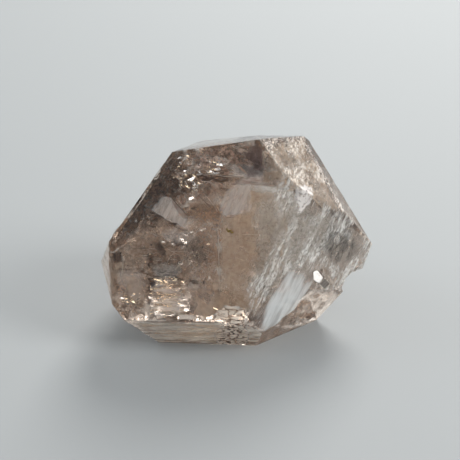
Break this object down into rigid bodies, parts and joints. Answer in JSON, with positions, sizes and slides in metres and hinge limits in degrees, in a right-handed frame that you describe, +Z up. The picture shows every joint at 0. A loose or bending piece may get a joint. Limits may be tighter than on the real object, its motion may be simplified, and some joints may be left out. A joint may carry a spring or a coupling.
{
  "type": "smoky quartz crystal",
  "caption": "Stout, see-through smoky quartz crystal with flat faces, an etched right side and a flat base; a display stone or paperweight.",
  "frame": {"origin": "middle of the bounding box in plan, on the surface that the crystal lies on", "axes": "+Z up from the flat base; the large brown face looks along -Y; +X runs along the crystal's longest way, to its nose"},
  "size_m": [0.0608, 0.0406, 0.0456],
  "materials": {
    "smoky_quartz": "clear brown quartz, polished by growth, partly etched"
  },
  "bodies": {
    "root": {"smoky_quartz_crystal": "smoky_quartz"}
  },
  "joints": []
}
